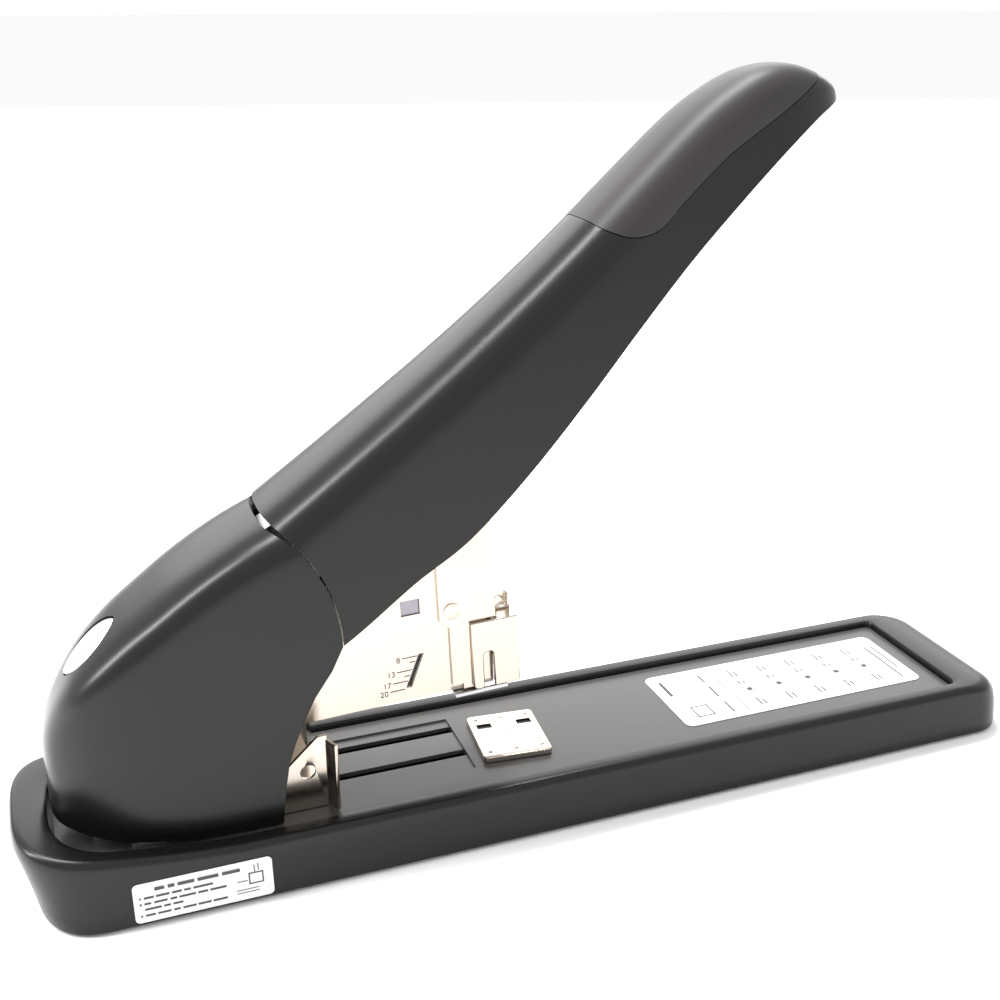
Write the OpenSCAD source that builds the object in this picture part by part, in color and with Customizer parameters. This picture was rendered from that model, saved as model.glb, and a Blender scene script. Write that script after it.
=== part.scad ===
// Heavy-duty long-lever stapler, millimetres, +Z up.
// The origin is the middle of the base's underside; +X runs to the front end.
// The near side is -Y. The rest pose has the lever up and the head open.

/* [Base] */
// Length of the base
base_l = 365; // [300:1:450]
// Width of the base at the floor
base_w = 72; // [60:1:100]
// Height of the rim along the front part
base_h = 20.3; // [18:0.1:30]
// Height that the rim rises by at the rear end
tail_rise = 9.6; // [4:0.1:14]
// Width of the rim on each side
rim_w = 6; // [4:0.1:9]
// Thickness of the deck plate
deck_t = 2.4; // [1.8:0.1:3]
// Wall thickness of the moulded base
base_wall = 3; // [2:0.1:4]

/* [Rear housing] */
// Width of the rear housing
housing_w = 48.4; // [46:0.1:54]
// Wall thickness of the housing
housing_wall = 2.4; // [1.6:0.1:3]
// Gap between the housing's curved edge and the lever
arc_gap = 0.5; // [0.4:0.1:2]

/* [Head and magazine] */
// Width over a staple's crown
crown_w = 13; // [10:0.1:14]
// Thickness of the steel sheet
sheet_t = 1.2; // [0.8:0.05:1.5]
// Clearance between sliding sheets
slide_gap = 0.35; // [0.3:0.05:0.5]
// Angle that the head points up by when open, degrees
head_pitch = 2.4; // [1:0.1:4]
// Diameter of the head pin
head_pin_d = 6; // [4:0.1:8]
// Thickness of the driver blade
blade_t = 1.1; // [0.8:0.1:1.4]

/* [Lever] */
// Width of the lever where it meets the housing
lever_w = 47; // [44:0.1:50]
// Wall thickness of the lever shell
lever_wall = 2.6; // [2:0.1:3]
// Diameter of the lever pin
lever_pin_d = 8; // [6:0.1:10]
// Diameter of the roller that presses the driver
roller_d = 12; // [9:0.1:13]

/* [Anvil and paper guide] */
// Length of the anvil plate
anvil_l = 24.8; // [20:0.1:30]
// Width of the anvil plate
anvil_w = 28.2; // [22:0.1:34]
// Thickness of the anvil plate
anvil_t = 1.9; // [1.5:0.1:2.2]
// Distance between the outer faces of the guide's cheeks
guide_w = 37.2; // [34:0.1:44]
// Height of the guide's cheeks above the deck
guide_h = 26.5; // [18:0.1:30]

/* [Hidden] */
$fn = 48;
fit = 0.05;
bw = base_w / 2;
deck_z = base_h - 2.4;
dx = 182.5 - base_l / 2;
dz = deck_z - 17.9;
front_x = base_l / 2;
rear_x = -base_l / 2;
rim_in = bw - 2.4 - rim_w;
deck_front = front_x - 21.7;
pt = crown_w / 2 + 0.4;
po = pt + sheet_t;
fo = po + fit + sheet_t;
ni = fo + slide_gap;
no = ni + sheet_t;
fr_i = po + 1.5;
fr_o = fr_i + 2;
rail_o = crown_w / 2 - 0.9;
lev_o = pt - 0.7;
lev_t = 2;
roller_w = 2 * (lev_o - lev_t - 0.3);
hp = [-133, 77];
np = [-150, 26];
arc_r = 56.4;
anvil_c = [-12.9, -0.9];
anvil_turn = -5.2;
hw0 = housing_w / 2;
lw = lever_w / 2;
gy = guide_w / 2;
mark_z = [57.1, 55.2, 52.3, 50.3, 48.4, 45.5];
slot_lean = 0.424;
spacers = [[-96, 70.2], [-62, 76.5]];
channel_rivet = [[-34.2, 71.7], [-26.1, 98]];
// Screws through the lever's web: distance along it, height, boss length
lever_screws = [[68, 12.6, 6.6], [84, 9.7, 12]];
rail_l = 105.4;

// Moves everything that stands on the deck with the base's size.
module on_deck() {
  translate([dx, 0, dz])
    children();
}

// Places the head, drawn level, at its open pitch about the head pin.
module in_head() {
  translate([dx, 0, dz])
    translate([np[0], 0, np[1]])
      rotate([0, -head_pitch, 0])
        translate([-np[0], 0, -np[1]])
          children();
}

// A side view, drawn in x and z, made as wide as y0 to y1.
module side(y0, y1) {
  translate([0, y1, 0])
    rotate([90, 0, 0])
      linear_extrude(y1 - y0)
        children();
}

// A round bar along Y at x, z.
module bar_y(x, z, r, y0, y1) {
  translate([x, y1, z])
    rotate([90, 0, 0])
      cylinder(r = r, h = y1 - y0);
}

function sgn(v) = v < 0 ? -1 : 1;
function lerp(a, b, t) = a + (b - a) * t;

// Two upright sides under a domed top, as shares of half width and height.
// h is the whole height, n makes the dome's shoulders squarer.
dome_h = 15;
function arch(n, h) = let (k = 1 - min(dome_h / h, 0.75))
  concat([for (i = [0:3]) [1, k * i / 4]],
    [for (i = [0:18]) let (a = 10 * i) [sgn(cos(a)) * pow(abs(cos(a)), 2 / n),
      k + (1 - k) * pow(abs(sin(a)), 2 / n)]],
    [for (i = [3:-1:0]) [-1, k * i / 4]]);

// Joins a row of outlines with the same number of points into one solid.
module loft(s) {
  m = len(s[0]);
  k = len(s);
  pts = [for (a = s) for (q = a) q];
  sides = [for (i = [0:k - 2]) for (j = [0:m - 1])
    let (j2 = (j + 1) % m)
    each [[i * m + j, (i + 1) * m + j, i * m + j2],
      [i * m + j2, (i + 1) * m + j, (i + 1) * m + j2]]];
  low = [[for (j = [0:m - 1]) j]];
  high = [[for (j = [0:m - 1]) (k - 1) * m + m - 1 - j]];
  polyhedron(points = pts, faces = concat(sides, low, high), convexity = 6);
}

// Share of the full half width of the base at x.
function plan_in(x, e) = let (f = front_x - e, r = rear_x + e,
    cf = 14 - e / 2, cr = 24 - e / 2)
  x > f - cf ? 1 - (cf - sqrt(max(0, cf * cf - pow(x - f + cf, 2)))) / (bw - e)
  : x < r + cr ? 1 - 1.42 * (cr - cr * pow(max(0,
    1 - pow((r + cr - x) / cr, 2.2)), 0.45)) / (bw - e) : 1;
function plan_y(x, e) = max(0.6, (bw - e) * plan_in(x, e));
function rim_z(x) = let (u = max(0, rear_x + 72 - x) / 72)
  base_h + tail_rise * pow(u, 1.55);

base_xs = concat([for (a = [0:15:90]) rear_x + 24 * (1 - sin(90 - a))
  + 0.05 * a / 90], [for (x = [40:14:110]) rear_x + x], [rear_x + 200],
  [for (a = [0:15:90]) front_x - 14 + 14 * sin(a) - 0.02 * a / 90]);
// One cross outline of the base at x, from the near foot round to the far.
function base_cut(x) = let (h = rim_z(x), y = plan_y(x, 0),
    d = min(2.6, y * 0.4))
  [[x, y - y / bw, 0.6], [x, y, 2.2], [x, y - d * 0.62, h - 2.4],
    [x, y - d * 0.8, h - 0.9], [x, y - d * 1.15, h - 0.2],
    [x, y - d * 1.6, h], [x, -y + d * 1.6, h],
    [x, -y + d * 1.15, h - 0.2], [x, -y + d * 0.8, h - 0.9],
    [x, -y + d * 0.62, h - 2.4], [x, -y, 2.2], [x, -y + y / bw, 0.6]];

// Plan outline of the base, set in by e and cut off at the front at x1.
function ring(e, x1, yin) = let (xs = [for (t = [0:0.05:1])
    rear_x + e + (pow(t, 2.2)) * (x1 - rear_x - e)])
  concat([for (x = xs) [x, -min(yin, plan_y(min(x, 0), e))]],
    [for (i = [len(xs) - 1:-1:0])
      [xs[i], min(yin, plan_y(min(xs[i], 0), e))]]);

// The well that the deck and the rear housing sit in.
module well(e) {
  difference() {
    polygon(ring(rim_w + 2.4 + e, deck_front - e, rim_in - e));
    for (s = [-1, 1])
      translate([deck_front - e, s * (rim_in - e)])
        difference() {
          square(5, center = true);
          translate([-2.5, -s * 2.5])
            circle(r = 2.5);
        }
  }
}

screw_at = [[rear_x + 34, 22], [rear_x + 34, -22], [-20, 27], [-20, -27],
  [front_x - 26, 26], [front_x - 26, -26]];

label_l = 42.6;
label_h = 13.2;

// Places the side label against the near wall, which leans in as it rises.
module at_side_label() {
  translate([dx - 148, -bw, 2.2])
    rotate([-5.86, 0, 0])
      children();
}

module base_shell() {
  color([0.09, 0.09, 0.095])
  difference() {
    loft([for (x = base_xs) base_cut(x)]);
    translate([0, 0, deck_z - deck_t - 0.1])
      linear_extrude(40)
        well(0);
    translate([0, 0, -1])
      linear_extrude(deck_z - deck_t - 4)
        polygon(ring(base_wall + 1.6, front_x - 8, bw - base_wall - 1.6));
    translate([0, 0, deck_z - deck_t - 6])
      linear_extrude(8)
        polygon(ring(rim_w + 8, deck_front - 6, rim_in - 4));
    at_side_label()
      translate([-0.4, -0.6, -0.4])
        cube([label_l + 0.8, 0.85, label_h + 0.8]);
  }
  color([0.09, 0.09, 0.095])
  for (q = screw_at)
    translate([q[0], q[1], 2.9])
      difference() {
        cylinder(r = 3.6, h = deck_z - deck_t - 3.4 - 4);
        translate([0, 0, -1])
          cylinder(r = 1.5, h = 8);
      }
}

module deck_plate() {
  color([0.2, 0.2, 0.21])
  difference() {
    translate([0, 0, deck_z - deck_t])
      linear_extrude(deck_t)
        well(0.35);
    translate([dx, 0, dz]) {
      translate([-118, -14.6, 17.1])
        cube([88, 34, 4]);
      for (y = [13, -3])
        translate([-128, y - 1.9, 10])
          cube([98, 3.8, 12]);
      translate([anvil_c[0], anvil_c[1], 10])
        cylinder(r = 2.05, h = 12);
      for (s = [-1, 1])
        for (x = [-140, -120])
          translate([x, s * 15.4, 10])
            cylinder(r = 1.6, h = 12);
    }
  }
}

module bottom_plate() {
  color([0.55, 0.56, 0.58])
  difference() {
    translate([0, 0, 1.5])
      linear_extrude(1.2)
        polygon(ring(base_wall + 2.2, front_x - 8.6, bw - base_wall - 2.2));
    for (q = screw_at)
      translate([q[0], q[1], -1])
        cylinder(r = 1.7, h = 6);
  }
}

module rubber_feet() {
  color([0.05, 0.05, 0.05])
  for (x = [rear_x + 48, front_x - 44])
    for (s = [-1, 1])
      translate([x, s * 20, 0])
        cylinder(r = 8, h = 1.45);
}

module bottom_screws() {
  color([0.7, 0.7, 0.72])
  for (q = screw_at)
    translate([q[0], q[1], 0.3])
      difference() {
        union() {
          cylinder(r = 3, h = 1.15);
          translate([0, 0, 0.5])
            cylinder(r = 1.45, h = 6);
        }
        translate([-2.4, -0.4, -0.5])
          cube([4.8, 0.8, 0.9]);
      }
}

module frame_outline() {
  difference() {
    union() {
      polygon([[-157, 18], [-157, 32], [-144, 79], [-138, 84], [-129, 86],
        [-122, 81], [-116, 62], [-114, 30], [-113, 18]]);
      translate(hp)
        circle(r = 10);
    }
    translate(hp)
      circle(r = lever_pin_d / 2 + 0.02);
    translate(np)
      circle(r = head_pin_d / 2 + 0.02);
    translate([-128, 48])
      circle(r = 6);
  }
}

module frame_half(s) {
  on_deck()
    difference() {
      union() {
        side(s > 0 ? fr_i : -fr_o, s > 0 ? fr_o : -fr_i)
          frame_outline();
        translate([-146, s > 0 ? fr_o - 0.5 : -fr_o - 8.5, 18])
          cube([33, 9, 2]);
      }
      for (x = [-140, -120])
        translate([x, s * 15.4, 10])
          cylinder(r = 1.6, h = 12);
    }
}

module frame_left() {
  color([0.62, 0.62, 0.64])
    frame_half(1);
}

module frame_right() {
  color([0.62, 0.62, 0.64])
    frame_half(-1);
}

module frame_screws() {
  color([0.7, 0.7, 0.72])
  on_deck()
    for (s = [-1, 1])
      for (x = [-140, -120])
        translate([x, s * 15.4, 12])
          difference() {
            union() {
              cylinder(r = 1.5, h = 9);
              translate([0, 0, 8.05])
                cylinder(r = 2.8, h = 1.6);
            }
            translate([-2.2, -0.4, 9])
              cube([4.4, 0.8, 1]);
          }
}

// Half width, crest height and bottom height of the housing at x.
hx = [[-168.2, 2, 47, 27], [-167.6, 6, 53.1, 26.6], [-166, 9.6, 59, 26],
  [-163.5, 12.6, 64.8, 25.3], [-160, 15.6, 70.6, 24.5],
  [-155.5, 18.4, 76.5, 23.5], [-149.5, 20.8, 82.7, 22.4],
  [-142.5, 22.6, 88.7, 21.4], [-134, 23.6, 94.9, 20.3],
  [-124, 24.1, 102.1, 19.4], [-113, 24.2, 109, 18.9],
  [-101, 24.2, 115.2, 18.7], [-88, 24.2, 120.2, 18.6],
  [-70, 24, 124.5, 18.6]];

function house_cut(q, e) = [for (a = arch(3.4, q[2] - q[3]))
  [q[0] + (q[0] < -160 ? e : 0) * (1 - (q[0] + 168.2) / 8.2),
    a[0] * max(0.5, (q[1] * hw0 / 24.2) - e),
    lerp(q[3] - (e > 0 ? 3 : 0), q[2] - e * 1.15, a[1])]];

module housing_body(e) {
  loft([for (q = hx) house_cut(q, e)]);
}

// The side outline that trims the housing's front to the lever's arc.
module housing_trim() {
  difference() {
    union() {
      translate(hp)
        circle(r = arc_r, $fn = 120);
      polygon([[-190, 10], [-190, 140], [-133, 132.4], [-100, 110],
        [-76.6, 75.6], [-86, 62.5], [-92.4, 49.5], [-95.4, 42], [-97.2, 32],
        [-98.9, 20.5], [-99, 10]]);
    }
    difference() {
      translate([hp[0] + 20, hp[1]])
        square([60, 80]);
      translate(hp)
        circle(r = arc_r, $fn = 120);
    }
    translate([hp[0] - 10, hp[1] - 80])
      polygon([[200, 0], [66.4, 78.6], [57, 65.5], [50.6, 52.5], [47.6, 45],
        [45.8, 35], [44.1, 23.5], [44, 0]]);
  }
}

btn = [-151, 80.8];
btn_a = 47;
button_in = 2.2;

module lens(g) {
  intersection_for (s = [-1, 1])
    translate([0, s * 4.27])
      circle(r = 12.27 + g, $fn = 96);
}

module at_button() {
  translate([btn[0], 0, btn[1]])
    rotate([0, btn_a - 90, 0])
      children();
}

housing_screw = [[-106, 21.2], [-106, -21.2]];

module rear_housing() {
  color([0.09, 0.09, 0.095])
  on_deck()
    difference() {
      union() {
        difference() {
          intersection() {
            housing_body(0);
            side(-40, 40)
              housing_trim();
          }
          housing_body(housing_wall);
          at_button()
            translate([0, 0, -9])
              linear_extrude(20)
                lens(0.45);
        }
        for (q = housing_screw)
          translate([q[0], q[1], 19.3])
            cylinder(r = 1.95, h = 12);
      }
      for (q = housing_screw)
        translate([q[0], q[1], 0]) {
          cylinder(r = 0.9, h = 28);
          cylinder(r = 2, h = 19.4);
        }
    }
}

module housing_screws() {
  color([0.7, 0.7, 0.72])
  on_deck()
    for (q = housing_screw)
      translate([q[0], q[1], 18.1]) {
        cylinder(r = 1.8, h = 1);
        cylinder(r = 0.8, h = 8);
      }
}

module lever_pin() {
  color([0.75, 0.75, 0.77])
  on_deck()
    bar_y(hp[0], hp[1], lever_pin_d / 2, -fr_o - 1.6, fr_o + 1.6);
}

module head_pin() {
  color([0.75, 0.75, 0.77])
  on_deck()
    bar_y(np[0], np[1], head_pin_d / 2, -fr_o - 1.6, fr_o + 1.6);
}

module pin_clips() {
  color([0.4, 0.4, 0.42])
  on_deck()
    for (s = [-1, 1])
      for (q = [[hp, lever_pin_d / 2], [np, head_pin_d / 2]])
        difference() {
          bar_y(q[0][0], q[0][1], q[1] + 1.6, s * (fr_o + 0.6) - 0.4,
            s * (fr_o + 0.6) + 0.4);
          bar_y(q[0][0], q[0][1], q[1] + 0.02, -30, 30);
        }
}

spring_at = [-122, 4.6, 17.92];

module spring_seat() {
  color([0.62, 0.62, 0.64])
  on_deck()
    translate(spring_at)
      difference() {
        cylinder(r = 4.9, h = 1.4);
        translate([0, 0, 0.3])
          cylinder(r = 4.2, h = 3);
      }
}

module return_spring() {
  color([0.75, 0.75, 0.77])
  on_deck()
    translate([spring_at[0], spring_at[1], spring_at[2] + 0.85])
      for (i = [0:5])
        translate([0, 0, i * 2.35])
          rotate_extrude()
            translate([3.6, 0])
              circle(r = 0.5, $fn = 12);
}

module anvil_rivet() {
  color([0.72, 0.72, 0.73])
  translate([dx + anvil_c[0], anvil_c[1], deck_z - deck_t - 1.2])
    union() {
      cylinder(r = 3.4, h = 1.15);
      cylinder(r = 2, h = deck_t + anvil_t + 1.3);
    }
}

module deck_label() {
  color([0.9, 0.9, 0.9])
  translate([dx, 0, deck_z + 0.02])
    linear_extrude(0.22)
      difference() {
        translate([51, -17.6])
          square([102.5, 37.4]);
        for (q = [[51, -17.6, 1, 1], [153.5, -17.6, -1, 1],
            [51, 19.8, 1, -1], [153.5, 19.8, -1, -1]])
          translate([q[0], q[1]])
            difference() {
              square(6, center = true);
              translate([q[2] * 3, q[3] * 3])
                circle(r = 3);
            }
      }
}

module side_label() {
  color([0.9, 0.9, 0.9])
  at_side_label()
    translate([0, 0.03, 0])
      cube([label_l, 0.2, label_h]);
}

module anvil_plate() {
  color([0.8, 0.79, 0.78])
  translate([dx + anvil_c[0], anvil_c[1], deck_z + 0.3])
    rotate([0, 0, anvil_turn])
      difference() {
        linear_extrude(anvil_t)
          difference() {
            square([anvil_l, anvil_w], center = true);
            for (sx = [-1, 1])
              for (sy = [-1, 1])
                translate([sx * anvil_l / 2, sy * anvil_w / 2])
                  difference() {
                    square(6, center = true);
                    translate([-sx * 3, -sy * 3])
                      circle(r = 3);
                  }
          }
        translate([0, 0, -1])
          cylinder(r = 2.06, h = 5);
        for (x = [-7.4, 7.4])
          for (s = [-1, 1])
            translate([x, s * 3.9, anvil_t - 0.9])
              translate([-1.6, -3.1, 0])
                cube([3.2, 6.2, 2]);
        for (s = [-1, 1])
          translate([0, s * (anvil_w / 2 - 3.4), anvil_t - 0.5])
            cylinder(r = 1.1, h = 2);
      }
}

module paper_guide() {
  color([0.72, 0.71, 0.68])
  on_deck()
    difference() {
      union() {
        translate([-112, -gy, 18.2])
          cube([29.4, 2 * gy, 1.2]);
        for (s = [-1, 1]) {
          side(s > 0 ? gy - 1.2 : -gy, s > 0 ? gy : -gy + 1.2)
            polygon([[-112, 18.2], [-82.4, 18.2], [-82.4, 17.9 + guide_h],
              [-85.3, 17.9 + guide_h], [-96, 34.5], [-112, 31]]);
          translate([-82.6, s * (gy - 0.6), 18.4])
            rotate([0, 0, s > 0 ? -25 : 25])
              translate([-0.6, s > 0 ? 0 : -5.4, 0])
                cube([1.2, 5.4, guide_h - 2.2]);
        }
        for (y = [13, -3])
          translate([-106, y - 1.4, deck_z - dz - deck_t - 0.6])
            cube([12, 2.8, deck_t + 1.4]);
      }
      bar_y(-89.1, 32, 2.6, -40, 40);
      for (y = [13, -3])
        translate([-100, y, 10])
          cylinder(r = 0.82, h = 16);
    }
}

module guide_slider() {
  color([0.12, 0.12, 0.12])
  on_deck()
    difference() {
      translate([-108, -7, 17.9 - deck_t - 2.7])
        cube([16, 24, 2]);
      for (y = [13, -3])
        translate([-100, y, 8])
          cylinder(r = 0.82, h = 8);
    }
}

module guide_rivets() {
  color([0.72, 0.72, 0.73])
  on_deck()
    for (y = [13, -3])
      translate([-100, y, 17.9 - deck_t - 3.3])
        union() {
          cylinder(r = 0.8, h = deck_t + 4.6);
          cylinder(r = 1.8, h = 0.55);
        }
}

module head_outline() {
  difference() {
    union() {
      polygon([[-154, 20.5], [-147, 20.2], [-118, 34], [-104, 39.4],
        [-95, 41.2], [-20.4, 41.2], [-20.4, 113], [-36, 112.5], [-45, 108],
        [-58, 101], [-75, 90], [-95, 76.5], [-118, 60], [-140, 42],
        [-154, 32]]);
      translate(np)
        circle(r = 7);
    }
    translate(np)
      circle(r = head_pin_d / 2 + 0.04);
    for (q = channel_rivet)
      translate(q)
        circle(r = 1.62);
    for (q = spacers)
      translate(q)
        circle(r = 2.02);
  }
}

module head_cuts() {
  difference() {
    head_outline();
    translate([-51.3, 72.6])
      square([6.5, 5.5]);
    polygon([[-46.4, 57.8], [-44.4, 57.8], [-49.4, 46], [-51.4, 46]]);
  }
}

module head_left() {
  color([0.8, 0.78, 0.75])
  in_head()
    side(pt, po)
      head_cuts();
}

module head_right() {
  color([0.8, 0.78, 0.75])
  in_head()
    side(-po, -pt)
      head_cuts();
}

module head_spacers() {
  color([0.7, 0.7, 0.72])
  in_head()
    for (q = spacers)
      bar_y(q[0], q[1], 2, -po - 0.6, po + 0.6);
}

module channel_side() {
  difference() {
    polygon([[-38.7, 68.4], [-36.2, 65.9], [-35.4, 65.9], [-35.4, 43.6],
      [-31.6, 43.6], [-31.6, 41.4], [-22.4, 41.4], [-22.4, 66.4],
      [-19, 66.4], [-19, 116], [-38.7, 116]]);
    for (q = channel_rivet)
      translate(q)
        circle(r = 1.62);
    polygon([[-24.6, 41], [-24.6, 52.6], [-23.4, 54.4], [-21.8, 54.4],
      [-20.6, 52.6], [-20.6, 41]]);
  }
}

module front_channel() {
  color([0.84, 0.82, 0.8])
  in_head()
    union() {
      side(po + fit, fo)
        channel_side();
      side(-fo, -po - fit)
        channel_side();
      difference() {
        translate([-20.2, -fo, 66.6])
          cube([1.2, 2 * fo, 49.4]);
        translate([-22, -roller_w / 2 - 1, 101.5])
          cube([4, roller_w + 2, 20]);
      }
    }
}

module channel_rivets() {
  color([0.8, 0.79, 0.77])
  in_head()
    for (s = [-1, 1])
      for (q = channel_rivet) {
        bar_y(q[0], q[1], 1.6, s > 0 ? pt : -fo - 0.1,
          s > 0 ? fo + 0.1 : -pt);
        bar_y(q[0], q[1], 3, s > 0 ? fo : -fo - 0.3,
          s > 0 ? fo + 0.3 : -fo);
      }
}

module leg_scale() {
  color([0.25, 0.25, 0.25])
  in_head()
    for (i = [0:5])
      let (l = i == 1 || i == 3 ? 2 : 5.2)
        translate([-46.9 - (mark_z[0] - mark_z[i]) * slot_lean - l,
          -po - 0.06, mark_z[i]])
          cube([l, 0.05, 0.35]);
}

module window_pads() {
  color([0.62, 0.6, 0.66])
  in_head()
    for (s = [-1, 1])
      translate([-51.15, s > 0 ? pt - 1.2 : -pt - 0.6, 72.75])
        cube([6.2, 1.8, 5.2]);
}

module nose_cap() {
  color([0.84, 0.82, 0.8])
  in_head()
    difference() {
      union() {
        for (s = [-1, 1])
          side(s > 0 ? ni : -no, s > 0 ? no : -ni)
            polygon([[-28.3, 42], [-27.3, 41], [-12.5, 41], [-11.5, 42],
              [-11.5, 66.2], [-28.3, 66.2]]);
        translate([-12.7, -no, 41])
          cube([1.2, 2 * no, 25.2]);
        translate([-18.6, -no, 65])
          cube([7.1, 2 * no, 1.2]);
      }
      for (s = [-1, 1])
        side(s > 0 ? ni - 1 : -no - 1, s > 0 ? no + 1 : -ni + 1)
          polygon([[-24.4, 40], [-24.4, 53.6], [-23.5, 54.6], [-21.6, 54.6],
            [-20.7, 53.6], [-20.7, 40]]);
    }
}

module nose_block() {
  color([0.5, 0.5, 0.52])
  in_head()
    translate([-20.1, -ni + 0.05, 41.4])
      cube([7.3, 2 * ni - 0.1, 23.5]);
}

module magazine_rail() {
  color([0.7, 0.7, 0.72])
  in_head()
    difference() {
      union() {
        for (s = [-1, 1])
          translate([-128, s > 0 ? rail_o - 1 : -rail_o, 43.2])
            cube([rail_l, 1, 21.8]);
        translate([-128, -rail_o, 64])
          cube([rail_l, 2 * rail_o, 1]);
        translate([-128, -rail_o, 50])
          cube([1.2, 2 * rail_o, 15]);
        for (s = [-1, 1])
          translate([-35, s > 0 ? rail_o - 1 : -rail_o, 40])
            cube([12.4, 1, 4]);
        translate([-35, -no, 39.7])
          cube([9, 2 * no, 1.15]);
        for (s = [-1, 1])
          translate([-28.2, s > 0 ? ni + 0.05 : -no + 0.05, 39.7])
            cube([12, sheet_t - 0.1, 1.25]);
      }
      translate([-124, -1.6, 60])
        cube([96, 3.2, 10]);
      bar_x(2.06);
    }
}

// A bore along X for the pusher's rod.
module bar_x(r) {
  translate([-140, 0, 54])
    rotate([0, 90, 0])
      cylinder(r = r, h = 18);
}

module latch_tab() {
  color([0.7, 0.7, 0.7])
  in_head()
    union() {
      translate([-17.7, -4.5, 66.22])
        cube([5.6, 9, 0.9]);
      translate([-17.7, -4.5, 66.22])
        cube([0.9, 9, 4.6]);
      translate([-13, -4.5, 66.22])
        cube([0.9, 9, 5.4]);
    }
}

module pusher_rod() {
  color([0.75, 0.75, 0.77])
  in_head()
    translate([-127.9, 0, 54])
      rotate([0, 90, 0])
        union() {
          cylinder(r = 1.5, h = 104);
          translate([0, 0, 1.2])
            cylinder(r = 2.6, h = 1.2);
        }
}

module staple_pusher() {
  color([0.2, 0.2, 0.21])
  in_head()
    difference() {
      union() {
        translate([-42, -rail_o - 0.75, 65.35])
          cube([18.6, 2 * rail_o + 1.5, 0.75]);
        for (s = [-1, 1])
          translate([-42, s > 0 ? rail_o + 0.35 : -rail_o - 0.75, 48])
            cube([18.6, 0.4, 18.1]);
        translate([-38, -1.25, 50.5])
          cube([8, 2.5, 15.6]);
      }
      translate([-60, 0, 54])
        rotate([0, 90, 0])
          cylinder(r = 1.58, h = 40);
      translate([-43, -5, 66.3])
        cube([5, 10, 3]);
    }
}

module driver_carrier() {
  color([0.45, 0.45, 0.47])
  in_head()
    difference() {
      translate([-32, -pt + 0.35, 94])
        cube([10.35, 2 * pt - 0.7, 18]);
      for (z = [98.5, 106])
        translate([-33, 0, z])
          rotate([0, 90, 0])
            cylinder(r = 1.52, h = 20);
    }
}

module driver_blade() {
  color([0.7, 0.7, 0.72])
  in_head()
    difference() {
      translate([-21.6, -crown_w / 2, 66.4])
        cube([blade_t, crown_w, 44]);
      for (z = [98.5, 106])
        translate([-33, 0, z])
          rotate([0, 90, 0])
            cylinder(r = 1.52, h = 20);
    }
}

module driver_rivets() {
  color([0.7, 0.7, 0.72])
  in_head()
    for (z = [98.5, 106])
      translate([-32.6, 0, z])
        rotate([0, 90, 0])
          union() {
            cylinder(r = 1.5, h = 12.05);
            cylinder(r = 2.4, h = 0.55);
          }
}

// Crest point, lower edge point and half width along the lever.
hs = [[-115.5, 105.5, -92, 68, 23.5], [-95.6, 119.9, -72, 80.5, 23],
  [-75.7, 134, -52, 95, 22.3], [-56.1, 148.1, -33.8, 106.5, 21.6],
  [-35.8, 163.1, -14, 125, 20.9], [-15.8, 178.9, 6, 147, 20.1],
  [4.2, 195.8, 24, 168.4, 19.4], [24.8, 214.6, 41, 188, 18.8],
  [44.8, 232.1, 56, 203.4, 18.2], [60.4, 242, 69, 216, 17.6],
  [71.1, 245.8, 79.5, 225, 16.2], [81, 246.3, 87, 230.2, 13.8],
  [89.5, 244, 93, 233.2, 10.8], [95.5, 241, 97, 234.6, 7.4],
  [99.4, 238, 99.8, 235.2, 3]];

function lever_cut(q, e, low) = let (
    t = [q[0], q[1]], b = [q[2], q[3]], l = norm(t - b), u = (t - b) / l,
    h = max(1, l - e * 1.1))
  [for (a = arch(2.8, l)) [b[0] - u[0] * low + u[0] * (h + low) * a[1],
    a[0] * max(0.5, q[4] * lw / 23.5 - e * (1 + 0.15 * abs(a[0]))),
    b[1] - u[1] * low + u[1] * (h + low) * a[1]]];

module lever_body(e, low, last) {
  loft([for (i = [0:last]) lever_cut(hs[i], e, low)]);
}

module outside_arc() {
  difference() {
    children();
    bar_y(hp[0], hp[1], arc_r + arc_gap, -60, 60, $fn = 160);
    side(-60, 60)
      polygon([[hp[0], hp[1]], [hp[0] - 80, hp[1] + 60],
        [hp[0] - 40, hp[1] + 120], [hp[0] + 33.5, hp[1] + 47.5]]);
  }
}

module grip_region() {
  polygon([[6, 216], [8.2, 207], [10.7, 201.2], [16.1, 198.3],
    [20.9, 197.2], [26, 197.6], [30.5, 199.4], [34.3, 202.7], [37.8, 206.6],
    [51.2, 218.7], [60.7, 225.3], [70.4, 231.2], [77.5, 235.9],
    [85, 239.5], [91, 243.2], [93.5, 250], [93, 270], [-10, 270],
    [0, 226]]);
}

module handle_shell() {
  color([0.09, 0.09, 0.095])
  on_deck()
    outside_arc()
      difference() {
        lever_body(0, 0, 14);
        lever_body(lever_wall + 0.9, 3, 11);
        difference() {
          side(-40, 40)
            grip_region();
          lever_body(1.9, 0, 13);
        }
      }
  color([0.09, 0.09, 0.095])
  along_lever()
    for (q = lever_screws)
      translate([q[0], 0, q[1] + 5])
        difference() {
          cylinder(r = 3, h = q[2]);
          translate([0, 0, -1])
            cylinder(r = 1.25, h = 6.5);
        }
}

module handle_grip() {
  color([0.34, 0.33, 0.33])
  on_deck()
    difference() {
      intersection() {
        lever_body(0.02, 0, 13);
        side(-40, 40)
          intersection() {
            grip_region();
            translate([-20, 100])
              square([140, 200]);
          }
      }
      lever_body(1.88, 0, 13);
    }
}

// The steel lever, drawn along its own length from the lever pin.
module along_lever() {
  on_deck()
    translate([hp[0], 0, hp[1]])
      rotate([0, -24.28, 0])
        children();
}

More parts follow.
